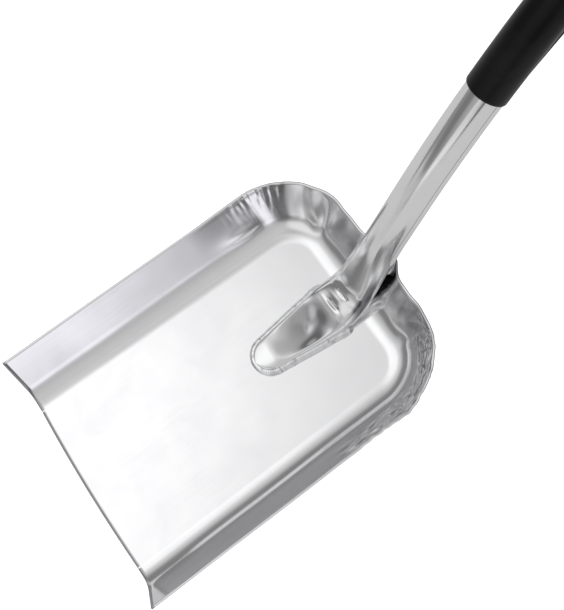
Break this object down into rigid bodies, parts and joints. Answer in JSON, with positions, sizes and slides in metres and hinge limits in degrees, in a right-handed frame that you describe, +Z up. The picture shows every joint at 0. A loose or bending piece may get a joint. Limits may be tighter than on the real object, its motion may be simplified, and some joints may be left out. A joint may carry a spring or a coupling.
{
  "type": "grain scoop shovel",
  "caption": "Scoop shovel with a shallow pressed aluminium pan, open at the mouth, and a bent aluminium tube handle with a black sleeve and a D-shaped grip.",
  "frame": {"origin": "centre of the flat underside of the pan, on the plane through the middle of the shovel", "axes": "+Z up from the pan's floor, +Y from the mouth towards the grip, +X to the right of a person looking along +Y"},
  "size_m": [0.3, 0.9415, 0.5151],
  "materials": {
    "pan_metal": "bright rolled sheet with soft reflections",
    "shaft_metal": "polished drawn tube",
    "weld_metal": "rippled weld bead",
    "sleeve_plastic": "smooth black with a soft sheen",
    "grip_plastic": "fine grained black moulding",
    "grip_rubber": "soft matt",
    "rivet_metal": "plain zinc coated"
  },
  "bodies": {
    "root": {"pan": "pan_metal", "shaft_tube": "shaft_metal", "tongue_weld_tip": "weld_metal", "tongue_weld_left": "weld_metal", "tongue_weld_right": "weld_metal", "rim_weld": "weld_metal", "shaft_sleeve": "sleeve_plastic", "grip_yoke": "grip_plastic", "grip_bar_cover": "grip_rubber", "grip_rivet": "rivet_metal", "grip_rivet_washer": "rivet_metal"}
  },
  "joints": []
}
